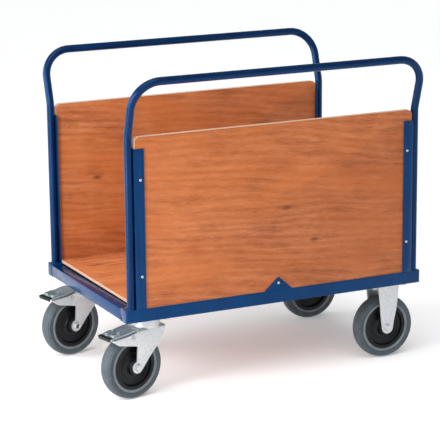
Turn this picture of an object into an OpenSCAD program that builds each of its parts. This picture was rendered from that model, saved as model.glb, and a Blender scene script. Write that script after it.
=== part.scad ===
// Two-sided platform truck: a wooden deck on a welded steel frame, a wooden wall
// along each long side, a bent tube bow over each wall, two swivel castors with
// brakes at one short end and two fixed castors at the other.
// X runs along the truck, Y across it and Z up. The origin is on the floor under
// the middle of the frame. The swivel castors are at -X, the near side is at -Y.

/* [Frame] */
// Length of the frame over its corners
frame_l = 1000; // [860:10:1300]
// Width of the frame over the outer faces of its long rails
frame_w = 640; // [580:10:760]
// Height of the frame's underside above the floor
frame_base = 247; // [245:1:275]
// Height of a long rail
rail_h = 39; // [37:1:60]
// Width of a long rail's flanges
rail_w = 45; // [44:1:56]
// Sheet thickness of the rails
rail_t = 3; // [2:0.5:4]
// Rounding of a long rail's outer edges
rail_r = 1.5; // [0.5:0.1:2]
// Depth of the corner cap on each end of a long rail
cap_d = 8; // [6:1:20]
// Height of an end rail
end_rail_h = 34; // [30:1:36]
// Width of an end rail's top flange
end_rail_w = 36; // [28:1:44]
// Step from a long rail's top down to an end rail's top
end_rail_step = 2.5; // [0.5:0.5:3]
// Thickness of the castor carriers' steel
carrier_t = 5; // [4:0.5:6]
// Thickness of the castor carriers' upturned lip
lip_t = 4; // [3:0.5:6]
// Width of the middle cross-member
cross_w = 50; // [40:2:80]

/* [Deck] */
// Thickness of the deck board
deck_t = 9; // [8:0.5:15]
// Distance from the frame's end to the edge of the deck board
deck_inset = 38; // [37:1:60]
// Gap between the deck board and each wall
deck_gap = 0.5; // [0.3:0.1:2]
// Diameter of the deck screws
deck_screw_d = 5; // [4:0.5:6]
// Length of the deck screws
deck_screw_l = 15; // [14:1:25]
// Deck screws along each long rail
deck_screws_n = 4; // [3:1:6]

/* [Walls] */
// Height of a wall board above the rails
wall_h = 512; // [440:4:640]
// Thickness of a wall board
wall_t = 18; // [15:0.5:20]
// Rounding of a wall board's top corners
wall_r = 16; // [8:1:60]
// Gap between a wall board's end and the upright beside it
wall_gap = 0.5; // [0.3:0.1:2]
// Width of the triangular tab that holds a wall board's foot
tab_w = 92; // [60:2:140]
// Height of the tab
tab_h = 40; // [30:1:70]
// Rounding of the tab's tip
tab_r = 4; // [3:0.5:8]
// Height of the tab's screw above the rail
tab_screw_z = 23; // [16:1:28]

/* [Uprights] */
// Leg width of the angle steel uprights
angle_w = 32; // [28:1:36]
// Thickness of the angle steel and of the tab
angle_t = 3; // [2:0.5:4]
// Height of the uprights
angle_h = 478; // [400:2:500]
// Distance of the wall screws from the upright's corner
screw_x = 20; // [15:1:24]
// Height of the lower wall screws above the rails
screw_low = 98; // [40:2:160]
// Height of the upper wall screws above the rails
screw_high = 386; // [260:2:400]
// Diameter of the wall screws
wall_screw_d = 5; // [4:0.5:6]
// Length of the wall screws under the head
wall_screw_l = 14; // [10:1:15]

/* [Bows] */
// Outside diameter of the bow tube
tube_d = 24; // [22:1:27]
// Wall thickness of the bow tube
tube_wall = 2; // [1.5:0.5:3]
// Distance from the frame's end to the tube
tube_end_gap = 9; // [2:1:12]
// Distance from the frame's side to the axis of a post
post_setback = 14.5; // [14:0.5:20]
// Height above the rails at which the posts start to lean
lean_start = 504; // [420:4:540]
// Outward lean of the upper bow
lean_angle = 16.5; // [8:0.5:22]
// Radius of the bend where the lean starts
lean_r = 60; // [40:5:100]
// Radius of the bow's two corners
bow_r = 84; // [50:2:96]
// Height of the top bar's axis above the rails
bow_h = 675; // [650:5:760]

/* [Wheels] */
// Diameter of the wheels
wheel_d = 200; // [170:2:202]
// Width of a tyre
tyre_w = 46; // [36:1:48]
// Radius of the tyre's crowned tread across its width
tread_r = 45; // [35:1:80]
// Diameter of the black wheel centre
rim_d = 143; // [120:1:150]
// Width of the wheel centre's rim
rim_w = 39; // [30:1:40]
// Thickness of the rim band
rim_band = 10; // [6:1:14]
// Half thickness of the web next to the rim
web_half = 8; // [5:1:12]
// Diameter of the hub
hub_d = 50; // [42:1:60]
// Length of the hub
hub_l = 60; // [50:1:64]
// Diameter of the roller bearing's outside
bearing_d = 30; // [26:1:34]
// Diameter of the axle tube that the bearing turns on
axle_tube_d = 20; // [17:1:22]
// Diameter of the axle bolt
axle_d = 12; // [10:1:14]
// Width across the flats of the axle bolt's head and nut
axle_flats = 19; // [17:1:22]

/* [Castors] */
// Distance from the frame's end to the middle of a castor plate
castor_inset_x = 92; // [90:1:140]
// Distance from the frame's side to the middle of a castor plate
castor_inset_y = 76; // [70:1:80]
// Length of a castor plate
plate_l = 138; // [130:1:150]
// Width of a castor plate
plate_w = 110; // [104:1:120]
// Thickness of a castor plate
plate_t = 6; // [5:0.5:8]
// Rounding of a castor plate's corners
plate_r = 10; // [4:1:16]
// Bolt spacing along the truck
bolt_dx = 105; // [98:1:112]
// Bolt spacing across the truck
bolt_dy = 80; // [74:1:84]
// Diameter of the castor bolts
bolt_d = 10; // [8:1:12]
// Width across the flats of a castor bolt's head and nut
bolt_flats = 17; // [13:1:19]
// Sheet thickness of the forks
fork_t = 4; // [3:0.5:5]
// Gap between the hub and each fork leg
hub_gap = 1; // [0.5:0.25:2]
// Outward joggle of the fork legs above the hub
fork_joggle = 5; // [2:0.5:8]
// Radius of a swivel fork's leg round the axle
swivel_ear_r = 18; // [14:1:19]
// Radius of a fixed fork's leg round the axle
fixed_ear_r = 19.5; // [16:0.5:22]
// Half width of a fixed fork's leg under its plate
fixed_leg_half = 37; // [30:1:42]
// Distance from the swivel axis back to the axle
trail = 55; // [50:1:60]
// Turn of both swivel castors about their vertical axes at rest
swivel_turn = 13; // [0:1:30]
// Diameter of the king pin
king_d = 16; // [14:1:18]
// Radius of the swivel head's crown
crown_r = 44; // [42:1:48]
// Diameter of the upper bearing balls
ball_d = 8; // [6:1:8]
// Balls in the upper row
ball_n = 18; // [12:1:20]

/* [Brakes] */
// Height of the pedal pin above the axle
pedal_pin_z = 97; // [96:1:100]
// Distance of the pedal pin behind the axle
pedal_pin_back = 16; // [14:1:20]
// Diameter of the pedal pin
pedal_pin_d = 8; // [6:1:10]
// Width of the pedal
pedal_w = 66; // [60:1:70]
// Length of the pedal behind its pin
pedal_l = 76; // [70:1:90]
// Sheet thickness of the pedal
pedal_t = 3; // [2:0.5:4]
// Downward slope of the released pedal
pedal_slope = 9; // [4:1:12]
// Length of the grip on the pedal's end
grip_l = 9; // [7:1:16]
// Height of the grip
grip_h = 3; // [3:0.5:6]
// Length of the brake shoe
shoe_l = 20; // [12:1:24]
// Width of the brake shoe
shoe_w = 36; // [24:1:44]
// Height of the shoe's sole above the pedal pin's axis
shoe_rise = 3.5; // [3.5:0.1:6]

/* [Clearances] */
// Radial running gap of wheels, king pins and pedals
run_gap = 0.05; // [0.02:0.01:0.1]
// Radial gap of bolts and screws in their holes
bolt_gap = 0.5; // [0.3:0.1:0.5]
// Gap between flat faces that slide past each other
face_gap = 0.5; // [0.3:0.1:1]

/* [Hidden] */
$fn = 64;
blue = [0.08, 0.22, 0.42];
wood = [0.78, 0.46, 0.26];
zinc = [0.82, 0.84, 0.86];
steel = [0.62, 0.64, 0.66];
black = [0.05, 0.05, 0.06];
grey = [0.42, 0.45, 0.47];
near = -1;
far = 1;
eps = 0.01;
frame_top = frame_base + rail_h;
deck_top = frame_top + deck_t;
half_l = frame_l / 2;
half_w = frame_w / 2;
// Outer and inner faces of a wall board
wall_out = half_w - angle_t;
wall_in = wall_out - wall_t;
// Outer corner of the uprights, which the tubes touch
angle_x = half_l - tube_end_gap - tube_d;
post_x = angle_x + tube_d / 2;
post_y = half_w - post_setback;
screw_head_r = 4.2;
screw_head_h = 2.6;
castor_x = half_l - castor_inset_x;
castor_y = half_w - castor_inset_y;
bolt_top = frame_base + 14;
bolt_head_h = 6.4;
nut_h = 8;
wheel_r = wheel_d / 2;
rim_r = rim_d / 2;
plate_under = frame_base - plate_t;
// Inner and outer faces of the fork legs at the hub and above it
ear_in = hub_l / 2 + hub_gap;
leg_in = ear_in + fork_joggle;
leg_out = leg_in + fork_t;
// Underside, top and rear edge of the sheet that bridges the two legs of a swivel fork
bridge_top = frame_base - 30;
bridge_low = bridge_top - fork_t;
bridge_back = 12;
// Rear edge of a swivel fork's leg, and length and end rounding of its wing
leg_rear = -3;
wing_l = 90;
wing_r = 3;
wing_cut = 18;
ball_low = plate_under - 5 - ball_d;
race_r = 34;
lower_ball_d = 5;
lower_race_r = 17;
king_nut_h = 6;
axle_head_h = 7;
axle_flange_h = 1.5;
// Height of the pedal's sheet above its pin, and depth of its side flanges
pedal_plate_z = 15;
pedal_flange = 7;
pin_z = wheel_r + pedal_pin_z;

// Points along an arc of radius r round c, from angle a0 to a1 in n steps
function arc(c, r, a0, a1, n) = [
    for (i = [0:n]) c + r * [cos(a0 + (a1 - a0) * i / n), sin(a0 + (a1 - a0) * i / n)]
];
// Point where a line from p touches the circle of radius r round c, on the given side
function touch(p, c, r, side) =
    let (d = p - c, a = atan2(d[1], d[0]) + side * acos(r / norm(d)))
    c + r * [cos(a), sin(a)];

// Rectangle of size w by h from the origin, its corners rounded by r
module rounded_rect(w, h, r) {
    translate([r, 0]) square([w - 2 * r, h]);
    translate([0, r]) square([w, h - 2 * r]);
    for (x = [r, w - r], y = [r, h - r])
        translate([x, y]) circle(r);
}

// Flat shape drawn in X and Z, given a thickness w along Y about Y = 0
module upright_sheet(w) {
    rotate([90, 0, 0]) linear_extrude(w, center = true) children();
}

// Flat shape drawn in Y and Z, drawn out along +X by l
module along_x(l) {
    rotate([90, 0, 90]) linear_extrude(l) children();
}

// Flat shape drawn in X and Z, drawn out along Y over the whole inside width
module along_y(l) {
    translate([0, l / 2, 0]) rotate([90, 0, 0]) linear_extrude(l) children();
}

// Turned shape about the Y axis, drawn as radius and place along the axle
module turned() {
    rotate([-90, 0, 0]) rotate_extrude() children();
}

// A piece and its copy on the other long side
module both_sides() {
    children();
    mirror([0, 1, 0]) children();
}

// A piece and its copy at the other short end
module both_ends() {
    children();
    mirror([1, 0, 0]) children();
}

// Frame

// Outline of the long rail: two rounded corners on its outer face
module rail_outline(w, h, r) {
    translate([r, 0]) square([w - r, h]);
    translate([0, r]) square([w, h - 2 * r]);
    for (z = [r, h - r])
        translate([r, z]) circle(r);
}

module rail_section() {
    difference() {
        rail_outline(rail_w, rail_h, rail_r);
        translate([rail_t, rail_t])
            rail_outline(rail_w, rail_h - 2 * rail_t, rail_r);
    }
}

// Places of the deck screws along the truck
deck_screw_x = [
    for (i = [0:deck_screws_n - 1])
        (half_l - deck_inset - 24) * (2 * i / (deck_screws_n - 1) - 1)
];
deck_screw_y = half_w - rail_w + 11;

// Near long rail, a channel open towards the middle
module long_rail() {
    color(blue) difference() {
        translate([cap_d - half_l, -half_w, frame_base])
            along_x(frame_l - 2 * cap_d) rail_section();
        for (x = deck_screw_x)
            translate([x, -deck_screw_y, frame_top - rail_t - 1])
                cylinder(h = rail_t + 2, d = deck_screw_d + 2 * bolt_gap);
        castor_bolt_places()
            translate([0, 0, frame_base - 1])
                cylinder(h = rail_t + 2, d = bolt_d + 2 * bolt_gap);
    }
}

// Corner cap: closes the rail's end and rounds the frame's corner in plan
module rail_cap() {
    color(blue) intersection() {
        translate([-half_l, -half_w, frame_base])
            along_x(cap_d) rail_outline(rail_w, rail_h, rail_r);
        translate([-half_l, -half_w, frame_base]) linear_extrude(rail_h) {
            translate([cap_d, cap_d]) circle(cap_d);
            translate([0, cap_d]) square([cap_d, rail_w - cap_d]);
        }
    }
}

// End rail, an angle with its flange on top
module end_rail() {
    length = frame_w - 2 * rail_w;
    top = frame_top - end_rail_step;
    color(blue) along_y(length) {
        translate([-half_l, top - end_rail_h]) square([rail_t, end_rail_h]);
        translate([-half_l, top - rail_t]) square([end_rail_w, rail_t]);
    }
}

// Castor carrier: a wide plate across the frame with a lip up to the deck
module castor_carrier() {
    length = frame_w - 2 * rail_w;
    inner = castor_x - plate_l / 2 - lip_t;
    color(blue) difference() {
        along_y(length) {
            translate([-half_l + rail_t, frame_base])
                square([half_l - rail_t - inner, carrier_t]);
            translate([-inner - lip_t, frame_base]) square([lip_t, rail_h]);
        }
        castor_bolt_places()
            translate([0, 0, frame_base - 1])
                cylinder(h = carrier_t + 2, d = bolt_d + 2 * bolt_gap);
    }
}

module cross_member() {
    color(blue) along_y(frame_w - 2 * rail_w) translate([-cross_w / 2, frame_base + rail_t])
        difference() {
            square([cross_w, rail_h - rail_t]);
            translate([rail_t, -1]) square([cross_w - 2 * rail_t, rail_h - 2 * rail_t + 1]);
        }
}

// Deck and walls

module deck_board() {
    length = frame_l - 2 * deck_inset;
    width = 2 * (wall_in - deck_gap);
    color(wood) difference() {
        translate([-length / 2, -width / 2, frame_top]) cube([length, width, deck_t]);
        deck_screw_places() {
            translate([0, 0, frame_top - 1])
                cylinder(h = deck_t + 2, d = deck_screw_d + 0.2);
            translate([0, 0, deck_top - deck_screw_d / 2])
                cylinder(h = deck_screw_d / 2 + eps, d1 = deck_screw_d + 0.2,
                         d2 = 2 * deck_screw_d + 0.2 + 2 * eps);
        }
    }
}

module deck_screw_places() {
    for (x = deck_screw_x, y = [-deck_screw_y, deck_screw_y])
        translate([x, y, 0]) children();
}

// Countersunk screws, their heads just under the deck's face
module deck_screws() {
    head_top = deck_top - 0.1;
    color(steel) deck_screw_places() {
        translate([0, 0, head_top - deck_screw_l]) cylinder(h = deck_screw_l, d = deck_screw_d);
        translate([0, 0, head_top - deck_screw_d / 2])
            cylinder(h = deck_screw_d / 2, d1 = deck_screw_d, d2 = 2 * deck_screw_d);
    }
}

// Places of the screws that hold the near wall, with X along the truck and Z up
module wall_screw_places() {
    for (x = [screw_x - angle_x, angle_x - screw_x], z = [screw_low, screw_high])
        translate([x, -half_w, frame_top + z]) children();
    translate([0, -half_w, frame_top + tab_screw_z]) children();
}

// Bore of diameter d through the upright and into the wall
module wall_screw_bore(d, l) {
    translate([0, l - 1, 0]) rotate([90, 0, 0]) cylinder(h = l, d = d);
}

module wall_board() {
    half = angle_x - angle_t - wall_gap;
    color(wood) difference() {
        translate([0, -wall_out + wall_t / 2, frame_top]) upright_sheet(wall_t) {
            translate([-half, 0]) square([2 * half, wall_h - wall_r]);
            translate([wall_r - half, 0]) square([2 * (half - wall_r), wall_h]);
            for (x = [wall_r - half, half - wall_r])
                translate([x, wall_h - wall_r]) circle(wall_r);
        }
        wall_screw_places() wall_screw_bore(wall_screw_d + 0.2, wall_screw_l + 1.5);
    }
}

module wall_screws() {
    color(zinc) both_sides() wall_screw_places() {
        rotate([-90, 0, 0]) cylinder(h = wall_screw_l, d = wall_screw_d);
        rotate([90, 0, 0]) cylinder(h = screw_head_h * 0.4, r = screw_head_r);
        rotate([90, 0, 0]) translate([0, 0, screw_head_h * 0.4])
            cylinder(h = screw_head_h * 0.6, r1 = screw_head_r, r2 = screw_head_r * 0.55);
    }
}

// Angle steel upright at the near side's left end
module upright() {
    color(blue) difference() {
        translate([-angle_x, -half_w, frame_top]) linear_extrude(angle_h) {
            square([angle_w, angle_t]);
            square([angle_t, angle_w]);
        }
        wall_screw_places() wall_screw_bore(wall_screw_d + 2 * bolt_gap, angle_t + 2);
    }
}

// Triangular tab on the near rail, its foot flared and its tip rounded
module wall_tab() {
    tip = [0, tab_h - tab_r];
    foot = tab_w / 2;
    color(blue) difference() {
        translate([0, angle_t / 2 - half_w, frame_top]) upright_sheet(angle_t) {
            translate(tip) circle(tab_r);
            polygon([
                [-foot, 0], [foot, 0], [foot - 2, 3],
                touch([foot - 2, 3], tip, tab_r, 1),
                touch([2 - foot, 3], tip, tab_r, -1),
                [2 - foot, 3]
            ]);
        }
        wall_screw_places() wall_screw_bore(wall_screw_d + 2 * bolt_gap, angle_t + 2);
    }
}

// Bows

// Butt joint between a bow's posts and its leaning top
seam_gap = 0.02;
// Run of the leaning straight between the two bends of a post
lean_run = round(100 * ((bow_h - lean_start - lean_r * sin(lean_angle)) / cos(lean_angle)
                        - bow_r)) / 100;

// Ring shaped section of the bow tube
module tube_ring() {
    difference() {
        circle(d = tube_d);
        circle(d = tube_d - 2 * tube_wall);
    }
}

// Left post of the near bow, up to the end of the bend where the bow leans out
module bow_post() {
    translate([-post_x, -post_y, frame_top]) {
        linear_extrude(lean_start) tube_ring();
        translate([0, -lean_r, lean_start]) rotate([90, 0, 90])
            rotate_extrude(angle = lean_angle) translate([lean_r, 0]) tube_ring();
    }
}

// Leaning top of the near bow, drawn upright from the ends of the lean bends
module bow_top() {
    both_ends() translate([-post_x, 0, 0]) {
        translate([0, 0, seam_gap]) linear_extrude(lean_run - seam_gap) tube_ring();
        translate([bow_r, 0, lean_run]) rotate([90, 0, 0]) rotate([0, 0, 90])
            rotate_extrude(angle = 90) translate([bow_r, 0]) tube_ring();
    }
    translate([bow_r - post_x, 0, lean_run + bow_r]) rotate([0, 90, 0])
        linear_extrude(2 * (post_x - bow_r)) tube_ring();
}

module bow() {
    $fn = 48;
    color(blue) {
        both_ends() bow_post();
        translate([0, -post_y - lean_r, frame_top + lean_start])
            rotate([lean_angle, 0, 0]) translate([0, lean_r, 0]) bow_top();
    }
}

// Castor fasteners

module castor_bolt_places() {
    for (x = [-castor_x, castor_x], y = [-castor_y, castor_y])
        for (dx = [-bolt_dx / 2, bolt_dx / 2], dy = [-bolt_dy / 2, bolt_dy / 2])
            translate([x + dx, y + dy, 0]) children();
}

module castor_bolts() {
    color(steel) castor_bolt_places() translate([0, 0, plate_under - bolt_head_h]) {
        cylinder(h = bolt_head_h, d = bolt_flats / cos(30), $fn = 6);
        cylinder(h = bolt_top + 3 - plate_under + bolt_head_h, d = bolt_d);
    }
}

// Nuts, on the rail's flange in the outer row and on the carrier in the inner row
module castor_nuts() {
    color(steel) for (x = [-castor_x, castor_x], y = [-castor_y, castor_y])
        for (dx = [-bolt_dx / 2, bolt_dx / 2], row = [-1, 1]) {
            seat = row * sign(y) > 0 ? rail_t : carrier_t;
            translate([x + dx, y + row * bolt_dy / 2, frame_base + seat]) difference() {
                cylinder(h = nut_h, d = bolt_flats / cos(30), $fn = 6);
                translate([0, 0, -1]) cylinder(h = nut_h + 2, d = bolt_d + 0.1);
            }
        }
}

// Castor plate centred on Z, with its four bolt holes
module castor_plate(centre_d) {
    difference() {
        translate([-plate_l / 2, -plate_w / 2, plate_under])
            linear_extrude(plate_t) rounded_rect(plate_l, plate_w, plate_r);
        for (x = [-bolt_dx / 2, bolt_dx / 2], y = [-bolt_dy / 2, bolt_dy / 2])
            translate([x, y, plate_under - 1])
                cylinder(h = plate_t + 2, d = bolt_d + 2 * bolt_gap);
        if (centre_d > 0)
            translate([0, 0, plate_under - 1]) cylinder(h = plate_t + 2, d = centre_d);
    }
}

module fixed_place(side) {
    translate([castor_x, side * castor_y, 0]) children();
}

module swivel_place(side) {
    translate([-castor_x, side * castor_y, 0]) rotate([0, 0, swivel_turn]) children();
}

// Wheels, drawn about the axle at the origin

module tyre() {
    color(grey) turned() intersection() {
        polygon([
            [rim_r, -rim_w / 2], [wheel_r - 6, -tyre_w / 2], [wheel_r + 1, -tyre_w / 2],
            [wheel_r + 1, tyre_w / 2], [wheel_r - 6, tyre_w / 2], [rim_r, rim_w / 2]
        ]);
        translate([wheel_r - tread_r, 0]) circle(tread_r, $fn = 180);
    }
}

module wheel_centre() {
    band = rim_r - rim_band;
    hub = hub_d / 2;
    half = [
        [bearing_d / 2, hub_l / 2], [hub - 2, hub_l / 2], [hub, hub_l / 2 - 2],
        [hub + 2, web_half + 5], [hub + 7, web_half + 2],
        [band - 5, web_half], [band - 1, web_half + 3], [band, rim_w / 2 - 1],
        [band + 1, rim_w / 2], [rim_r, rim_w / 2]
    ];
    mirrored = [for (i = [len(half) - 1:-1:0]) [half[i][0], -half[i][1]]];
    color(black) turned() polygon(concat(half, mirrored));
}

// Roller bearing pressed into the hub
module wheel_bearing() {
    inner = axle_tube_d / 2 + run_gap;
    color(steel) turned() translate([inner, 1 - hub_l / 2])
        square([bearing_d / 2 - inner, hub_l - 2]);
}

// Axle parts, drawn about the axle at the origin

module axle_tube() {
    color(steel) turned() translate([axle_d / 2 + 0.1, -ear_in])
        square([(axle_tube_d - axle_d) / 2 - 0.1, 2 * ear_in]);
}

module axle_bolt() {
    seat = ear_in + fork_t;
    color(zinc) {
        translate([0, seat + axle_head_h + 4, 0]) rotate([90, 0, 0])
            cylinder(h = 2 * seat + axle_head_h + 4, d = axle_d);
        translate([0, -seat, 0]) rotate([90, 0, 0]) {
            cylinder(h = axle_flange_h, d = axle_flats + 5);
            intersection() {
                cylinder(h = axle_flange_h + axle_head_h, d = axle_flats / cos(30), $fn = 6);
                cylinder(h = axle_flange_h + axle_head_h, d1 = axle_flats + 12, d2 = axle_flats + 0.8);
            }
        }
    }
}

module axle_nut() {
    seat = ear_in + fork_t;
    color(zinc) translate([0, seat, 0]) rotate([-90, 0, 0]) difference() {
        union() {
            cylinder(h = axle_flange_h, d = axle_flats + 5);
            cylinder(h = axle_flange_h + axle_head_h, d = axle_flats / cos(30), $fn = 6);
        }
        translate([0, 0, -1]) cylinder(h = axle_head_h + axle_flange_h + 2, d = axle_d + 0.1);
    }
}

// Forks

// Section across a fork: two legs that stand wider above the hub, from z0 up to z1.
// A bridge of sheet closes the top when bridged is true.
module fork_section(z0, z1, bridged) {
    knee_low = wheel_r + 22;
    knee_high = wheel_r + 70;
    bend = 7;
    for (s = [-1, 1])
        scale_y(s) polygon([
            [ear_in, z0], [ear_in + fork_t, z0], [ear_in + fork_t, knee_low],
            [leg_out, knee_high], [leg_out, z1 - (bridged ? bend : 0)],
            [leg_in, z1 - (bridged ? bend : 0)], [leg_in, knee_high], [ear_in, knee_low]
        ]);
    if (bridged) {
        translate([bend - leg_out, z1 - fork_t]) square([2 * (leg_out - bend), fork_t]);
        for (s = [-1, 1])
            scale_y(s) intersection() {
                translate([leg_out - bend, z1 - bend]) difference() {
                    circle(bend);
                    circle(bend - fork_t);
                }
                translate([leg_out - bend, z1 - bend]) square(bend);
            }
    }
}

// Flips a flat shape left to right when s is -1
module scale_y(s) {
    if (s > 0) children();
    else mirror([1, 0]) children();
}

// Side view of a swivel fork's leg, with the axle at X = 0: a round ear, a leg
// that widens forwards, and a wing that reaches back beside the tyre's top and
// has its end cut off at a slant
module swivel_leg_outline() {
    axle = [0, wheel_r];
    front = [trail + 22, wheel_r + 65];
    crown_front = trail + crown_r;
    wing_top = [-wing_l + wing_r, wheel_r + 99 - wing_r];
    wing_low = wing_top + [wing_cut, -12];
    translate(axle) circle(swivel_ear_r);
    polygon(concat(
        [
            touch(front, axle, swivel_ear_r, -1), front, [crown_front - 9, wheel_r + 86],
            [crown_front, bridge_low - 5], [crown_front, bridge_top + 1],
            [bridge_back, bridge_top + 1], [bridge_back - 22, wheel_r + 108],
            [0.4 * wing_top[0], wheel_r + 103], [0.7 * wing_top[0], wheel_r + 100.5]
        ],
        arc(wing_top, wing_r, 90, 236, 8),
        arc(wing_low, wing_r, 236, 258, 2),
        arc([leg_rear - 4, wheel_r + 64], 4, 80, 0, 4),
        [[leg_rear, wheel_r]]
    ));
}

// Side view of a fixed fork's leg, with the axle at X = 0
module fixed_leg_outline() {
    axle = [0, wheel_r];
    knee = [28, wheel_r + 53];
    top = [fixed_leg_half, plate_under - 9];
    translate(axle) circle(fixed_ear_r);
    polygon([
        touch(knee, axle, fixed_ear_r, -1), knee, top, [fixed_leg_half + 4, plate_under + 1],
        [-fixed_leg_half - 4, plate_under + 1], [-top[0], top[1]], [-knee[0], knee[1]],
        touch([-knee[0], knee[1]], axle, fixed_ear_r, 1)
    ]);
}

module axle_hole() {
    translate([0, 0, wheel_r]) rotate([90, 0, 0])
        cylinder(h = 4 * leg_out, d = axle_d + 0.4, center = true);
}

module fixed_fork() {
    color(zinc) difference() {
        union() {
            castor_plate(0);
            intersection() {
                translate([-plate_l / 2, 0, 0]) along_x(plate_l)
                    fork_section(wheel_r - 2 * fixed_ear_r, plate_under, false);
                upright_sheet(2 * leg_out + 2) fixed_leg_outline();
            }
        }
        axle_hole();
    }
}

// Swivel castor head, with the swivel axis on Z

// Upper plate with the race that presses on the balls
module swivel_plate() {
    color(zinc) union() {
        castor_plate(king_d - 4 + 0.1);
        translate([0, 0, ball_low + ball_d + run_gap]) difference() {
            cylinder(h = plate_under - ball_low - ball_d - run_gap + eps, r = race_r + 6);
            translate([0, 0, -1]) cylinder(h = 20, r = race_r - 7);
        }
    }
}

// King pin with a shoulder under the plate and a nut under the fork
module king_pin() {
    nut_top = bridge_low - lower_ball_d - run_gap;
    color(steel) {
        translate([0, 0, plate_under]) cylinder(h = plate_t, d = king_d - 4);
        translate([0, 0, nut_top - 1]) cylinder(h = plate_under - nut_top + 1, d = king_d);
        translate([0, 0, nut_top - 3]) cylinder(h = 3, r = lower_race_r + 5);
        translate([0, 0, nut_top - 3 - king_nut_h])
            cylinder(h = king_nut_h, d = 1.5 * king_d / cos(30), $fn = 6);
    }
}

// Two rows of bearing balls, above and below the fork's crown
module balls() {
    color(steel) {
        for (i = [0:ball_n - 1])
            rotate([0, 0, 360 * i / ball_n]) translate([race_r, 0, ball_low + ball_d / 2])
                sphere(d = ball_d, $fn = 24);
        for (i = [0:ball_n - 1])
            rotate([0, 0, 360 * i / ball_n])
                translate([lower_race_r, 0, bridge_low - lower_ball_d / 2])
                    sphere(d = lower_ball_d, $fn = 24);
    }
}

// Fork with its crown: the bridge stops behind the axle to leave room for the pedal
module swivel_fork() {
    blank_l = wing_l + 10;
    color(zinc) difference() {
        union() {
            translate([-trail, 0, 0]) intersection() {
                translate([-blank_l, 0, 0]) along_x(blank_l + trail + crown_r)
                    fork_section(wheel_r - 2 * swivel_ear_r, bridge_top, true);
                upright_sheet(2 * leg_out + 2) swivel_leg_outline();
            }
            translate([0, 0, bridge_low]) cylinder(h = ball_low - bridge_low, r = crown_r);
            translate([0, 0, ball_low - eps]) difference() {
                cylinder(h = plate_under - 3 - ball_low, r = crown_r);
                translate([0, 0, -1])
                    cylinder(h = plate_under - ball_low, r = race_r + 6 + face_gap + 0.5);
            }
        }
        translate([bridge_back - trail - blank_l, -leg_in + eps, bridge_low - 10])
            cube([blank_l, 2 * leg_in - 2 * eps, fork_t + 20]);
        translate([0, 0, bridge_low - 1])
            cylinder(h = plate_under - bridge_low, d = king_d + 2 * run_gap);
        translate([-trail, 0, 0]) axle_hole();
        translate([-trail - pedal_pin_back, 0, pin_z]) rotate([90, 0, 0])
            cylinder(h = 4 * leg_out, d = pedal_pin_d + 0.1, center = true);
    }
}

// Brake

// Frame of the pedal: origin on the pin, X to the front, tilted with the released pedal
module pedal_place(side) {
    swivel_place(side) translate([-trail - pedal_pin_back, 0, pin_z])
        rotate([0, -pedal_slope, 0]) children();
}

// Two pivot pins, one riveted in each leg, that end short of the tyre
module pedal_pin() {
    inner = pedal_w / 2 - 2 * pedal_t;
    color(steel) for (s = [-1, 1])
        rotate([90 * s, 0, 0]) {
            translate([0, 0, inner]) cylinder(h = leg_out - inner, d = pedal_pin_d);
            translate([0, 0, leg_out]) cylinder(h = 2.5, d = pedal_pin_d + 5);
        }
}

// Outline of a slot of width w, its round ends l apart, from the first end's centre
module slot_outline(w, l) {
    translate([0, -w / 2]) square([l, w]);
    for (x = [0, l])
        translate([x, 0]) circle(d = w);
}

// Places of the tread's two slots
module tread_slots() {
    for (s = [-1, 1])
        translate([grip_l + 11.5 - pedal_l, s * 16, pedal_plate_z]) children();
}

// Pedal: a tread with two rimmed slots and shallow side flanges down to the pins
module pedal() {
    front = 20;
    flange_low = pedal_plate_z - pedal_flange;
    lug_r = 9;
    slot_w = 11;
    slot_l = 17;
    rim_t = 2;
    rim_h = 6;
    color(zinc) difference() {
        union() {
            translate([-pedal_l, -pedal_w / 2, pedal_plate_z]) linear_extrude(pedal_t)
                rounded_rect(pedal_l + front, pedal_w, 4);
            tread_slots() linear_extrude(pedal_t + rim_h)
                slot_outline(slot_w + 2 * rim_t, slot_l);
            for (s = [-1, 1])
                translate([0, s * (pedal_w - pedal_t) / 2, 0]) upright_sheet(pedal_t) {
                    polygon([
                        [front - 4, pedal_plate_z + 1], [front - 7, flange_low],
                        [lug_r, 0], [-lug_r, 0], [-lug_r - 6, flange_low],
                        [4 - pedal_l, flange_low], [4 - pedal_l, pedal_plate_z + 1]
                    ]);
                    circle(lug_r);
                }
        }
        rotate([90, 0, 0]) cylinder(h = 2 * pedal_w, d = pedal_pin_d + 2 * run_gap, center = true);
        tread_slots() translate([0, 0, -1]) linear_extrude(pedal_t + rim_h + 2)
            slot_outline(slot_w, slot_l);
    }
}

// Ribbed grip on the pedal's end, wrapped down over the edge
module pedal_grip() {
    rib = 2.5;
    wrap = 3;
    drop = 8;
    top = pedal_plate_z + pedal_t;
    width = pedal_w - 4;
    color(black) {
        translate([-pedal_l - wrap, -width / 2, top]) linear_extrude(grip_h - 1.5)
            rounded_rect(grip_l + wrap, width, 2.5);
        translate([-pedal_l - wrap, 2.5 - width / 2, top - drop])
            cube([wrap, width - 5, drop + eps]);
        for (y = [4 - width / 2:2 * rib:width / 2 - 4 - rib])
            translate([2.5 - pedal_l - wrap, y, top + grip_h - 1.5 - eps])
                cube([grip_l + wrap - 5, rib, 1.5]);
    }
}

// Brake shoe hung under the pedal, just behind its pins
module brake_shoe() {
    back = -8;
    color(black) translate([back - shoe_l, -shoe_w / 2, shoe_rise])
        cube([shoe_l, shoe_w, pedal_plate_z - shoe_rise]);
}

// Nodes

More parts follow.
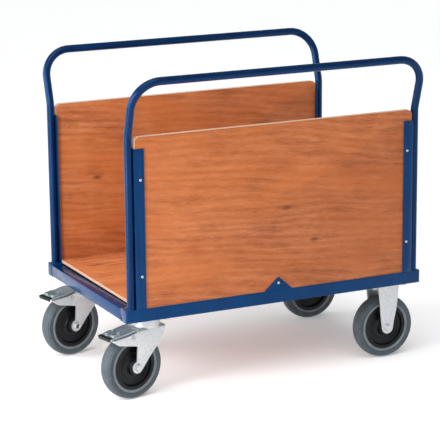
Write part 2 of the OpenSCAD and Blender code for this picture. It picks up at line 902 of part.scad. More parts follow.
long_rail();  // rail_near
mirror([0, 1, 0]) long_rail();  // rail_far
both_ends() both_sides() rail_cap();  // rail_caps
end_rail();  // end_rail_left
mirror([1, 0, 0]) end_rail();  // end_rail_right
castor_carrier();  // castor_carrier_left
mirror([1, 0, 0]) castor_carrier();  // castor_carrier_right
cross_member();
deck_board();
deck_screws();
wall_board();  // wall_near
mirror([0, 1, 0]) wall_board();  // wall_far
wall_screws();
both_ends() upright();  // uprights_near
both_ends() mirror([0, 1, 0]) upright();  // uprights_far
both_sides() wall_tab();  // wall_tabs
bow();  // bow_near
mirror([0, 1, 0]) bow();  // bow_far
for (s = [near, far]) translate([-castor_x, s * castor_y, 0]) swivel_plate();  // swivel_plates
for (s = [near, far]) translate([-castor_x, s * castor_y, 0]) king_pin();  // king_pins
castor_bolts();
castor_nuts();
fixed_place(near) fixed_fork();  // fixed_fork_near
fixed_place(far) fixed_fork();  // fixed_fork_far
for (s = [near, far]) fixed_place(s) translate([0, 0, wheel_r]) axle_bolt();  // fixed_axle_bolts
for (s = [near, far]) fixed_place(s) translate([0, 0, wheel_r]) axle_nut();  // fixed_axle_nuts
for (s = [near, far]) fixed_place(s) translate([0, 0, wheel_r]) axle_tube();  // fixed_axle_tubes
swivel_place(near) swivel_fork();  // swivel_fork_near
swivel_place(near) balls();  // balls_near
swivel_axle(near) axle_bolt();  // axle_bolt_near
swivel_axle(near) axle_nut();  // axle_nut_near
swivel_axle(near) axle_tube();  // axle_tube_near
pedal_place(near) pedal_pin();  // pedal_pin_near
pedal_place(near) pedal();  // pedal_near
pedal_place(near) pedal_grip();  // pedal_grip_near
pedal_place(near) brake_shoe();  // brake_shoe_near
swivel_place(far) swivel_fork();  // swivel_fork_far
swivel_place(far) balls();  // balls_far
swivel_axle(far) axle_bolt();  // axle_bolt_far
swivel_axle(far) axle_nut();  // axle_nut_far
swivel_axle(far) axle_tube();  // axle_tube_far
pedal_place(far) pedal_pin();  // pedal_pin_far
pedal_place(far) pedal();  // pedal_far
pedal_place(far) pedal_grip();  // pedal_grip_far
pedal_place(far) brake_shoe();  // brake_shoe_far
swivel_axle(near) tyre();  // tyre_swivel_near
swivel_axle(near) wheel_centre();  // centre_swivel_near
swivel_axle(near) wheel_bearing();  // bearing_swivel_near
swivel_axle(far) tyre();  // tyre_swivel_far
swivel_axle(far) wheel_centre();  // centre_swivel_far
swivel_axle(far) wheel_bearing();  // bearing_swivel_far
fixed_axle(near) tyre();  // tyre_fixed_near
fixed_axle(near) wheel_centre();  // centre_fixed_near
fixed_axle(near) wheel_bearing();  // bearing_fixed_near
fixed_axle(far) tyre();  // tyre_fixed_far
fixed_axle(far) wheel_centre();  // centre_fixed_far
fixed_axle(far) wheel_bearing();  // bearing_fixed_far

// Places of the axles, with the wheel's middle at the origin
module swivel_axle(side) {
    swivel_place(side) translate([-trail, 0, wheel_r]) children();
}

module fixed_axle(side) {
    fixed_place(side) translate([0, 0, wheel_r]) children();
}
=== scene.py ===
"""Looks of the two-sided platform truck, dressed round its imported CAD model.

X runs along the truck, Y across it and Z up, in metres, with the floor at Z = 0.
The swivel castors are at -X and the near side, which the camera sees, is at -Y.
Sizes of pieces are written in millimetres, and sizes of the studio in metres.
"""

import logging
import math
from collections.abc import Callable, Iterator, Sequence
from contextlib import contextmanager
from dataclasses import dataclass, field
from enum import Enum

import bmesh
import bpy
from mathutils import Matrix, Vector


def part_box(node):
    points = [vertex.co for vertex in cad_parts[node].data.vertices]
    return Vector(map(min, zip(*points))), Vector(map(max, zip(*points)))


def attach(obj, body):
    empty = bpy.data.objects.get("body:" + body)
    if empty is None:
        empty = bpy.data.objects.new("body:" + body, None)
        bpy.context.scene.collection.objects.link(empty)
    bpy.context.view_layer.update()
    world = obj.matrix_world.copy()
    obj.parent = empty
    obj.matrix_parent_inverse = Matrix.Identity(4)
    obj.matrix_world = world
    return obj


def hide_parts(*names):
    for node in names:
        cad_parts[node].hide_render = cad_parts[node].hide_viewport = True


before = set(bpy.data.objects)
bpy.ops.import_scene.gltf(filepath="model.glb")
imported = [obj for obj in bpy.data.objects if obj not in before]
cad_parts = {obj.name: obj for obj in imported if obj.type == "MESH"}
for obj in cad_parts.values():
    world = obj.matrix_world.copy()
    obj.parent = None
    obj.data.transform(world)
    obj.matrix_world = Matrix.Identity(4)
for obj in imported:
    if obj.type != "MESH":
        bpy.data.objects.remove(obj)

Object = bpy.types.Object
Socket = bpy.types.NodeSocket
Point = tuple[float, float, float]
Colour = Point
Pair = tuple[float, float]
Source = Socket | float | Colour
Choice = Callable[[bmesh.types.BMesh], list]

log = logging.getLogger("truck")
MM = 0.001
MERGE_WITHIN = 0.01 * MM
LEVEL_WITHIN = 1e-6
NOISE_MIDDLE = (0.3, 0.7)
MIX_INPUTS, MIX_OUTPUT = (0, 6, 7), 2  # a Mix node's share, two colours and result
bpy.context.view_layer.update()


class Side(Enum):
    """A long side of the truck, by its sign along Y."""

    NEAR = -1
    FAR = 1

    @property
    def word(self) -> str:
        """The side's word in the names of nodes and pieces."""
        return self.name.lower()


class Pick(Enum):
    """What edit mode selects."""

    VERTICES = "VERT"
    EDGES = "EDGE"
    FACES = "FACE"


# Shaping by hand


def hold(piece: Object) -> None:
    """Makes one piece the only selected and active object.

    Args:
        piece: the object.
    """
    bpy.ops.object.select_all(action="DESELECT")
    piece.select_set(True)
    bpy.context.view_layer.objects.active = piece


@contextmanager
def editing(piece: Object, kind: Pick) -> Iterator[None]:
    """Opens a piece in edit mode with nothing selected, and closes it after.

    Args:
        piece: the mesh object to shape.
        kind: the kind of element to select.
    """
    hold(piece)
    bpy.ops.object.mode_set(mode="EDIT")
    bpy.ops.mesh.select_mode(type=kind.value)
    bpy.ops.mesh.select_all(action="DESELECT")
    yield
    bpy.ops.object.mode_set(mode="OBJECT")


def pick(piece: Object, choose: Choice) -> None:
    """Selects edges or faces of the piece in edit mode.

    Args:
        piece: the mesh object in edit mode, with nothing selected.
        choose: gives the elements to select from the mesh.
    """
    mesh = bmesh.from_edit_mesh(piece.data)
    for element in choose(mesh):
        element.select_set(True)
    mesh.select_flush_mode()
    bmesh.update_edit_mesh(piece.data)


def edges_where(test: Callable[[Vector, Vector], bool]) -> Choice:
    """A choice of the edges whose two ends pass a test."""
    return lambda mesh: [e for e in mesh.edges if test(e.verts[0].co, e.verts[1].co)]


def widest(mesh: bmesh.types.BMesh, share: float = 0.97) -> list[bmesh.types.BMFace]:
    """The widest faces of a mesh, down to a share of the largest area."""
    least = share * max(face.calc_area() for face in mesh.faces)
    return [face for face in mesh.faces if face.calc_area() > least]


def merge_points() -> None:
    """Merges doubled points of the piece in edit mode."""
    bpy.ops.mesh.select_all(action="SELECT")
    bpy.ops.mesh.remove_doubles(threshold=MERGE_WITHIN)


def apply_place(piece: Object) -> None:
    """Puts the piece's place, turn and scale into its mesh."""
    hold(piece)
    bpy.ops.object.transform_apply(location=True, rotation=True, scale=True)


def added(name: str) -> Object:
    """Takes over the primitive that an operator has just added.

    Args:
        name: its new name.

    Returns:
        The object, with its place put into its mesh.
    """
    piece = bpy.context.object
    piece.name = name
    apply_place(piece)
    return piece


def block(name: str, size: Point, middle: Point) -> Object:
    """Makes a plain block.

    Args:
        name: its name.
        size: its length, width and height.
        middle: its middle.

    Returns:
        The block.
    """
    place, scale = (Vector(point) * MM for point in (middle, size))
    bpy.ops.mesh.primitive_cube_add(size=1, location=place, scale=scale)
    return added(name)


def close_seams(piece: Object) -> None:
    """Merges doubled points and turns the normals outwards.

    Args:
        piece: the mesh object.
    """
    with editing(piece, Pick.VERTICES):
        merge_points()
        bpy.ops.mesh.normals_make_consistent(inside=False)


def smooth(piece: Object, angle: float = 35.0) -> None:
    """Shades the piece smooth across edges flatter than the angle in degrees."""
    hold(piece)
    bpy.ops.object.shade_smooth_by_angle(angle=math.radians(angle), keep_sharp_edges=False)


def add_modifier(piece: Object, kind: str, **settings: object) -> None:
    """Adds a modifier and applies it.

    Args:
        piece: the mesh object.
        kind: the modifier's type.
        settings: the modifier's properties.
    """
    hold(piece)
    modifier = piece.modifiers.new(kind.title(), kind)
    for name, value in settings.items():
        setattr(modifier, name, value)
    bpy.ops.object.modifier_apply(modifier=modifier.name)


def joined(parts: Sequence[Object], name: str) -> Object:
    """Joins several meshes into one object.

    Args:
        parts: the objects to join.
        name: the name of the result.

    Returns:
        The joined object.
    """
    hold(parts[0])
    for part in parts:
        part.select_set(True)
    bpy.ops.object.join()
    parts[0].name = name
    return parts[0]


def copy_at(model: Object, name: str, place: Matrix = Matrix()) -> Object:
    """Copies a model and its mesh.

    Args:
        model: the object to copy.
        name: the copy's name.
        place: where the mesh's origin goes, put into the copy's mesh.

    Returns:
        The copy.
    """
    copy = bpy.data.objects.new(name, model.data.copy())
    bpy.context.scene.collection.objects.link(copy)
    copy.matrix_world = place
    apply_place(copy)
    return copy


def turned(name: str, outline: Sequence[Pair], steps: int) -> Object:
    """Spins a closed outline round the Y axis, as on a lathe.

    Args:
        name: the name of the result.
        outline: points as (radius, place along the axis).
        steps: faces round the axis.

    Returns:
        The turned object, round the origin.
    """
    first = outline[0]
    bpy.ops.mesh.primitive_plane_add(size=MM, location=(first[0] * MM, first[1] * MM, 0))
    piece = added(name)
    with editing(piece, Pick.VERTICES):
        bpy.ops.mesh.select_all(action="SELECT")
        bpy.ops.mesh.merge(type="CENTER")
        for here, there in zip(outline, [*outline[1:], first]):
            step = ((there[0] - here[0]) * MM, (there[1] - here[1]) * MM, 0)
            bpy.ops.mesh.extrude_region_move(TRANSFORM_OT_translate={"value": step})
        merge_points()
        bpy.ops.mesh.spin(steps=steps, angle=2 * math.pi, center=(0, 0, 0), axis=(0, 1, 0))
    close_seams(piece)
    smooth(piece)
    return piece


def refined(
    node: str, name: str, edge: float, segments: int = 2, flat: float = 0.6, sharp: float = 32
) -> Object:
    """Copies a CAD node, merges its loose triangles and rounds its edges.

    Args:
        node: the CAD node to copy.
        name: the copy's name.
        edge: width of the rounded edges.
        segments: faces across a rounded edge.
        flat: angle in degrees under which two faces become one.
        sharp: angle in degrees over which an edge is rounded.

    Returns:
        The rounded copy.
    """
    copy = copy_at(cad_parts[node], name)
    copy.data.materials.clear()
    with editing(copy, Pick.VERTICES):
        merge_points()
        bpy.ops.mesh.dissolve_limited(angle_limit=math.radians(flat))
    add_modifier(
        copy, "BEVEL", width=edge * MM, segments=segments, limit_method="ANGLE",
        angle_limit=math.radians(sharp),
    )
    smooth(copy)
    return copy


# Finishes


@dataclass(frozen=True)
class Look:
    """A finished material and the record's slot that it belongs to."""

    material: bpy.types.Material
    slot: str


def finish_piece(piece: Object, look: Look, body: str, *nodes: str) -> None:
    """Dresses a new piece, ties it to its body and hides the nodes it stands for.

    Args:
        piece: the finished mesh object.
        look: its material and record slot.
        body: the CAD body it rides on.
        nodes: the CAD nodes that it replaces.
    """
    if not piece.data.materials:
        piece.data.materials.append(look.material)
    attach(piece, body)
    if nodes:
        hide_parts(*nodes)
    log.info("%s: %s on %s for %s", piece.name, look.slot, body, ", ".join(nodes) or "itself")


def round_off(
    node: str, prefix: str, edge: float, look: Look, body: str, segments: int = 2
) -> None:
    """Puts a dressed copy with rounded edges, given, in a CAD node's place."""
    finish_piece(refined(node, f"{prefix}_{node}", edge, segments), look, body, node)


def dress(node: str, look: Look) -> None:
    """Gives a CAD node that stays in view its material.

    Args:
        node: the CAD node's name.
        look: the material and record slot.
    """
    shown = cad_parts[node]
    if not shown.material_slots:
        shown.data.materials.append(look.material)
    for place in shown.material_slots:
        place.material = look.material
    log.info("%s: %s on the CAD node", node, look.slot)


class Wiring:
    """A material, or the world, while its nodes are being wired."""

    def __init__(self, name: str, world: bool = False) -> None:
        """Starts with one shader.

        Args:
            name: the material's name.
            world: whether it is the world.
        """
        self.material = (bpy.data.worlds if world else bpy.data.materials).new(name)
        self.material.use_nodes = True
        self.tree = self.material.node_tree
        self.shader = self.tree.nodes["Background" if world else "Principled BSDF"]

    def feed(self, target: Socket, source: Source) -> None:
        """Links a socket into the target, or sets the target's own value.

        Args:
            target: the socket to feed.
            source: what feeds it.
        """
        if isinstance(source, bpy.types.NodeSocket):
            self.tree.links.new(source, target)
        else:
            target.default_value = (*source, 1) if target.type == "RGBA" else source

    def set(self, name: str, source: Source) -> None:
        """Feeds one of the shader's sockets by its name."""
        self.feed(self.shader.inputs[name], source)

    def node(
        self, kind: str, inputs: dict[str | int, Source], result: str | int, **settings: object
    ) -> Socket:
        """Adds a node.

        Args:
            kind: the node's type after "ShaderNode".
            inputs: what feeds its sockets, by their names or places.
            result: the output to read, by its name or place.
            settings: the node's properties.

        Returns:
            The output.
        """
        made = self.tree.nodes.new("ShaderNode" + kind)
        for name, value in settings.items():
            setattr(made, name, value)
        for name, source in inputs.items():
            self.feed(made.inputs[name], source)
        return made.outputs[result]

    def place(self, scale: Point = (1, 1, 1)) -> Socket:
        """The object's own coordinates, stretched along its axes."""
        return self.stretch(self.node("TexCoord", {}, "Object"), scale)

    def stretch(self, vector: Socket, scale: Point, turn: Point = (0, 0, 0)) -> Socket:
        """A vector times a factor along each axis, and then turned by angles in degrees."""
        inputs = {"Vector": vector, "Scale": scale, "Rotation": [math.radians(a) for a in turn]}
        return self.node("Mapping", inputs, "Vector", vector_type="POINT")

    def noise(
        self, vector: Socket, scale: float = 1, detail: float = 4, rough: float = 0.55,
        warp: float = 0,
    ) -> Socket:
        """Fractal noise from 0 to 1, with its octaves, their strength and its warp."""
        inputs = {"Scale": scale, "Detail": detail, "Roughness": rough, "Distortion": warp}
        return self.node("TexNoise", {"Vector": vector, **inputs}, "Fac")

    def spread(self, value: Socket, span: Pair, result: Pair = (0, 1)) -> Socket:
        """Maps a value from its span to a result range, and holds it inside that."""
        inputs = dict(enumerate((value, *span, *result)))
        return self.node("MapRange", inputs, "Result", clamp=True)

    def sum(self, kind: str, first: Source, second: Source = 0) -> Socket:
        """The result of one step of arithmetic on one or two numbers."""
        return self.node("Math", {0: first, 1: second}, 0, operation=kind)

    def ramp(self, value: Socket, stops: Sequence[tuple[float, Colour]]) -> Socket:
        """Colours along a value.

        Args:
            value: where the ramp is read.
            stops: places and colours, in order.

        Returns:
            The colour.
        """
        colour = self.node("ValToRGB", {"Fac": value}, "Color")
        band = colour.node.color_ramp
        while len(band.elements) < len(stops):
            band.elements.new(0.5)
        for element, (place, shade) in zip(band.elements, stops):
            element.position = place
            element.color = (*shade, 1)
        return colour

    def tint(self, cloud: Socket, first: Colour, second: Colour) -> Socket:
        """A colour that drifts from the first to the second with a noise."""
        return self.ramp(self.spread(cloud, NOISE_MIDDLE), [(0, first), (1, second)])

    def roughen(self, cloud: Socket, result: Pair) -> None:
        """Lets a noise move the shader's roughness between two values."""
        self.set("Roughness", self.spread(cloud, NOISE_MIDDLE, result))

    def blend(self, share: Source, first: Source, second: Source) -> Socket:
        """The first colour with a share of the second over it."""
        inputs = dict(zip(MIX_INPUTS, (share, first, second)))
        return self.node("Mix", inputs, MIX_OUTPUT, data_type="RGBA")

    def bump(self, height: Socket, depth: float, **under: Socket) -> Socket:
        """Turns a height into a shading normal of some depth, over the normal under it."""
        inputs = {"Strength": 1, "Distance": depth, "Height": height, **under}
        return self.node("Bump", inputs, "Normal")

    def edges(self, radius: float, span: Pair = (0.995, 0.9)) -> Socket:
        """Where the surface turns sharply, from 0 on a face to 1 on an edge.

        Args:
            radius: how far from an edge it reaches, in metres.
            span: cosine of the turn on a face and on an edge.

        Returns:
            The edge share.
        """
        rounded = self.node("Bevel", {"Radius": radius}, "Normal", samples=4)
        inputs = {0: rounded, 1: self.node("NewGeometry", {}, "Normal")}
        turn = self.node("VectorMath", inputs, "Value", operation="DOT_PRODUCT")
        return self.spread(turn, span)


@dataclass(frozen=True)
class Enamel:
    """Blue stove enamel with a fine orange peel, and thinner, lighter paint on the edges that is
    partly a painted edge highlight.
    """

    name: str = "blue_enamel"
    deep: Colour = (0.0005, 0.021, 0.078)
    lit: Colour = (0.001, 0.032, 0.112)
    thin_paint_and_edge_highlight: Colour = (0.03, 0.11, 0.3)
    sheen: Colour = (0.22, 0.45, 1.0)
    rough: Pair = (0.18, 0.28)
    peel: float = 0.05 * MM
    edge_wear_and_highlight_reach: float = 1.2 * MM

    def look(self) -> Look:
        """Wires the enamel.

        Returns:
            The finished look.
        """
        wires = Wiring(self.name)
        where = wires.place()
        cloud = wires.noise(where, scale=9, detail=5, rough=0.6)
        speck = wires.noise(where, scale=420, detail=3, rough=0.6)
        specks = wires.spread(speck, (0.35, 0.75), (0.2, 0.7))
        # Edges are lightened toward the thin colour in flecks: partly worn thin paint, partly a
        # painted highlight where edges catch the light.
        edge_wear_and_highlight = wires.sum("MULTIPLY", wires.edges(self.edge_wear_and_highlight_reach), specks)
        colour = wires.tint(cloud, self.deep, self.lit)
        wires.set("Base Color", wires.blend(edge_wear_and_highlight, colour, self.thin_paint_and_edge_highlight))
        wires.roughen(wires.noise(where, scale=34, rough=0.6), self.rough)
        wires.set("Specular IOR Level", 0.5)
        wires.set("Specular Tint", self.sheen)
        peel = wires.bump(wires.noise(where, scale=300, detail=2, rough=0.5), self.peel)
        wires.set("Normal", wires.bump(speck, 0.4 * self.peel, Normal=peel))
        return Look(wires.material, "blue_enamel")


@dataclass(frozen=True)
class Figure:
    """One layer of a veneer's figure: a noise stretched along the grain."""

    along: float
    across: float
    share: float
    detail: float = 4
    rough: float = 0.55
    warp: float = 0

    def read(self, wires: Wiring, flow: Socket) -> Socket:
        """The layer's noise in a material, read along its flowing grain."""
        vector = wires.stretch(flow, (self.along, self.across * 0.5, self.across))
        return wires.noise(vector, detail=self.detail, rough=self.rough, warp=self.warp)


FIGURES = {
    "mottle": Figure(8, 15, 0.44, rough=0.5, warp=0.5),
    "streak": Figure(7, 110, 0.28, detail=5, rough=0.62, warp=0.25),
    "fleck": Figure(20, 170, 0.30, detail=3, warp=0.2),
    "fibre": Figure(36, 560, 0.32, rough=0.65),
    "speckle": Figure(90, 330, 0.24, detail=3, rough=0.6),
}
DRIFT = Figure(2.2, 5.5, 0.6, detail=3, rough=0.5, warp=0.4)
DASHES = Figure(14, 260, 0.36, rough=0.6)
RINGS = {
    "Scale": 4.2, "Distortion": 9.0, "Detail": 3, "Detail Scale": 0.9, "Detail Roughness": 0.5,
}


@dataclass(frozen=True)
class Veneer:
    """Face veneer of a board: flowing figure, long streaks, fibres, pores and a few knots."""

    name: str
    turn: Point = (0, -5, 0)
    sway: float = 0.032
    ring_share: float = 0.10
    dark: Colour = (0.26, 0.072, 0.025)
    middle: Colour = (0.395, 0.12, 0.042)
    pale: Colour = (0.52, 0.18, 0.074)
    pore: Colour = (0.15, 0.04, 0.014)
    orange: Colour = (0.5, 0.135, 0.034)
    rough: Pair = (0.42, 0.56)
    knots: tuple[Point, ...] = ()
    knot_span: Pair = (0.010, 0.027)
    knot_flat: float = 2.2
    knot_fray: float = 0.012

    def flow(self, wires: Wiring) -> Socket:
        """The grain's own coordinates, which sway up and down along it.

        Args:
            wires: the material.

        Returns:
            The vector.
        """
        grain = wires.stretch(wires.node("TexCoord", {}, "Object"), (1, 1, 1), self.turn)
        sway = wires.noise(wires.stretch(grain, (1.9, 1.9, 3.6)), detail=2)
        lift = wires.spread(sway, (0, 1), (-self.sway, self.sway))
        inputs = {0: grain, 1: wires.node("CombineXYZ", {"Z": lift}, "Vector")}
        return wires.node("VectorMath", inputs, "Vector", operation="ADD")

    def knotted(self, wires: Wiring, colour: Socket, fray: Socket) -> Socket:
        """Sets the knots into the colour.

        Args:
            wires: the material.
            colour: the veneer's colour.
            fray: how the knots' rims fray, in metres.

        Returns:
            The colour with knots.
        """
        for x, y, z in self.knots:
            inputs = {0: wires.place((1, 1, self.knot_flat)), 1: (x, y, z * self.knot_flat)}
            away = wires.node("VectorMath", inputs, "Value", operation="DISTANCE")
            share = wires.spread(wires.sum("ADD", away, fray), self.knot_span, (0.85, 0))
            colour = wires.blend(share, colour, self.pore)
        return colour

    def look(self) -> Look:
        """Wires the veneer.

        Returns:
            The finished look.
        """
        wires = Wiring(self.name)
        flow = self.flow(wires)
        layers = {name: figure.read(wires, flow) for name, figure in FIGURES.items()}
        inputs = {"Vector": wires.stretch(flow, (0.5, 1.5, 3.0)), **RINGS}
        rings = wires.node("TexWave", inputs, "Fac", bands_direction="Z")
        tone = wires.sum("MULTIPLY", rings, self.ring_share)
        for name, figure in FIGURES.items():
            tone = wires.sum("ADD", tone, wires.sum("MULTIPLY", layers[name], figure.share))
        stops = [(0, self.dark), (0.45, self.middle), (1, self.pale)]
        colour = wires.ramp(wires.spread(tone, (0.66, 1.01)), stops)
        drift = wires.spread(DRIFT.read(wires, flow), (0.40, 0.66), (0, DRIFT.share))
        colour = wires.blend(drift, colour, self.orange)
        dashes = wires.spread(DASHES.read(wires, flow), (0.60, 0.71), (0, DASHES.share))
        colour = wires.blend(dashes, colour, self.pore)
        fray = wires.sum("MULTIPLY", layers["streak"], self.knot_fray)
        wires.set("Base Color", self.knotted(wires, colour, fray))
        wires.roughen(layers["streak"], self.rough)
        wires.set("Specular IOR Level", 0.18)
        grain = wires.bump(layers["fibre"], 0.10 * MM)
        wires.set("Normal", wires.bump(dashes, -0.08 * MM, Normal=grain))
        return Look(wires.material, "laminated_board")


@dataclass(frozen=True)
class CutEdge:
    """Sawn edge of a laminated board, with its plies across the thickness."""

    name: str
    across: str
    light: Colour = (0.8, 0.58, 0.42)
    dark: Colour = (0.5, 0.27, 0.15)
    rough: Pair = (0.55, 0.75)
    ply: float = 3.0 * MM
    wobble: float = 0.4 * MM
    contrast: float = 0.22

    def look(self) -> Look:
        """Wires the cut edge.

        Returns:
            The finished look.
        """
        wires = Wiring(self.name)
        noise = wires.noise(wires.place((8, 8, 8)), detail=2)
        fibre = wires.noise(wires.place((260, 260, 260)), rough=0.7)
        across = wires.node("SeparateXYZ", {0: wires.place()}, self.across)
        depth = wires.sum("ADD", across, wires.sum("MULTIPLY", noise, self.wobble))
        wave = wires.sum("SINE", wires.sum("MULTIPLY", depth, 2 * math.pi / self.ply))
        mixed = wires.sum("ADD", wires.sum("MULTIPLY", wave, self.contrast), fibre)
        stops = [(0, self.dark), (0.45, self.light), (1, self.light)]
        wires.set("Base Color", wires.ramp(wires.spread(mixed, (0.2, 0.85)), stops))
        wires.roughen(fibre, self.rough)
        wires.set("Normal", wires.bump(mixed, 0.15 * MM))
        return Look(wires.material, "laminated_board")


@dataclass(frozen=True)
class Metal:
    """Zinc plating, or another metal: faintly clouded, with fine marks in its polish."""

    name: str
    dull: Colour
    bright: Colour
    slot: str = "zinc_plate"
    rough: Pair = (0.28, 0.48)
    metallic: float = 0.8
    cloud: float = 140
    cloud_rough: float = 0.55
    cloud_share: float = 0.5
    marks: Point = (120, 120, 900)
    mark_rough: float = 0.6
    depth: float = 0.02 * MM

    def look(self) -> Look:
        """Wires the metal.

        Returns:
            The finished look.
        """
        wires = Wiring(self.name)
        cloud = wires.noise(wires.place(), scale=self.cloud, rough=self.cloud_rough)
        marks = wires.noise(wires.place(self.marks), detail=3, rough=self.mark_rough)
        wires.set("Base Color", wires.tint(cloud, self.dull, self.bright))
        wires.set("Metallic", self.metallic)
        clouded = wires.sum("MULTIPLY", cloud, self.cloud_share)
        marked = wires.sum("MULTIPLY", marks, 1 - self.cloud_share)
        wires.roughen(wires.sum("ADD", clouded, marked), self.rough)
        wires.set("Normal", wires.bump(marks, self.depth))
        return Look(wires.material, self.slot)


TURNED = {
    "slot": "bright_steel", "rough": (0.25, 0.42), "metallic": 1, "cloud": 80,
    "cloud_rough": 0.6, "cloud_share": 0, "marks": (900, 900, 900), "mark_rough": 0.65,
    "depth": 0.015 * MM,
}


@dataclass(frozen=True)
class Rubber:
    """Elastic rubber or plastic with a fine moulded skin and a little dust."""

    name: str
    slot: str
    deep: Colour
    pale: Colour
    dust: Colour
    rough: Pair
    grain: float
    gloss: float = 0.25

    def look(self) -> Look:
        """Wires the rubber.

        Returns:
            The finished look.
        """
        wires = Wiring(self.name)
        where = wires.place()
        cloud = wires.noise(where, scale=45, detail=5, rough=0.6)
        skin = wires.noise(where, scale=700, detail=3, rough=0.6)
        specks = wires.noise(where, scale=180, rough=0.7)
        dusty = wires.spread(specks, (0.55, 0.75), (0, 0.3))
        colour = wires.tint(cloud, self.deep, self.pale)
        wires.set("Base Color", wires.blend(dusty, colour, self.dust))
        wires.roughen(cloud, self.rough)
        wires.set("Specular IOR Level", self.gloss)
        wires.set("Normal", wires.bump(skin, self.grain))
        return Look(wires.material, self.slot)


def wired(recipe: Enamel | Veneer | CutEdge | Metal | Rubber) -> Look:
    """A field that holds a recipe's look once the finishes are made."""
    return field(default_factory=recipe.look)


@dataclass
class Finishes:
    """Every finish of the truck, wired once."""

    enamel: Look = wired(Enamel())
    # A darker copy of the same blue enamel for the bow tubes: painted shade, as the round tubes
    # look darker under this light.
    shaded_tube_enamel: Look = wired(
        Enamel("shaded_tube_enamel", (0.0004, 0.011, 0.048), (0.0009, 0.019, 0.074))
    )
    wall_face: Look = wired(Veneer(
        "wall_veneer",
        knots=((0.124, -0.317, 0.430), (0.030, -0.317, 0.538), (-0.33, 0.299, 0.55)),
    ))
    # The deck takes a paler copy of the wall veneer: painted light, as its upward face gets more
    # light from above than the walls.
    lit_deck_face: Look = wired(Veneer(
        "lit_deck_veneer", turn=(90, 0, 0), middle=(0.52, 0.165, 0.06),
        pale=(0.66, 0.245, 0.1), orange=(0.6, 0.175, 0.05),
    ))
    wall_edge: Look = wired(CutEdge("wall_cut_edge", "Y"))
    deck_edge: Look = wired(CutEdge("deck_cut_edge", "Z", (0.6, 0.4, 0.3), (0.36, 0.2, 0.12)))
    zinc: Look = wired(Metal("zinc_plate", (0.51, 0.53, 0.55), (0.64, 0.66, 0.68)))
    pedal_zinc: Look = wired(Metal("pedal_zinc", (0.3, 0.35, 0.37), (0.44, 0.5, 0.52)))
    steel: Look = wired(Metal("bright_steel", (0.36, 0.37, 0.38), (0.62, 0.63, 0.65), **TURNED))
    # Dark steel for the pressed hollows in bolt and nut heads: painted shade, where the hollow's
    # rim keeps light out.
    hollow_shade: Look = wired(
        Metal("hollow_shade_steel", (0.07, 0.075, 0.08), (0.16, 0.165, 0.17), **TURNED)
    )
    tyre: Look = wired(Rubber(
        "grey_tyre", "grey_tyre", (0.053, 0.07, 0.081), (0.077, 0.096, 0.109),
        (0.17, 0.185, 0.19), (0.42, 0.60), 0.04 * MM,
    ))
    tyre_lip: Look = wired(Rubber(
        "grey_tyre_lip", "grey_tyre", (0.13, 0.155, 0.17), (0.18, 0.205, 0.22),
        (0.24, 0.26, 0.27), (0.34, 0.50), 0.03 * MM,
    ))
    black_plastic: Look = wired(Rubber(
        "black_plastic", "black_plastic", (0.003, 0.004, 0.005), (0.006, 0.007, 0.009),
        (0.018, 0.018, 0.022), (0.30, 0.46), 0.03 * MM,
    ))
    black_rubber: Look = wired(Rubber(
        "black_rubber", "black_rubber", (0.01, 0.01, 0.011), (0.02, 0.02, 0.022),
        (0.05, 0.05, 0.05), (0.62, 0.80), 0.05 * MM,
    ))


# Sub-assemblies


@dataclass
class Chassis:
    """The welded frame: rails, corner caps, carriers and cross-member."""

    finishes: Finishes
    edge: float = 0.5
    nodes: tuple[str, ...] = (
        "rail_near", "rail_far", "rail_caps", "end_rail_left", "end_rail_right",
        "castor_carrier_left", "castor_carrier_right", "cross_member",
    )

    def build(self) -> None:
        """Rounds the edges of every piece and paints it."""
        for node in self.nodes:
            round_off(node, "steel", self.edge, self.finishes.enamel, "truck")


@dataclass
class Uprights(Chassis):
    """The angle steel uprights, and the tabs in the middle of the rails."""

    edge: float = 0.6
    nodes: tuple[str, ...] = ("uprights_near", "uprights_far", "wall_tabs")


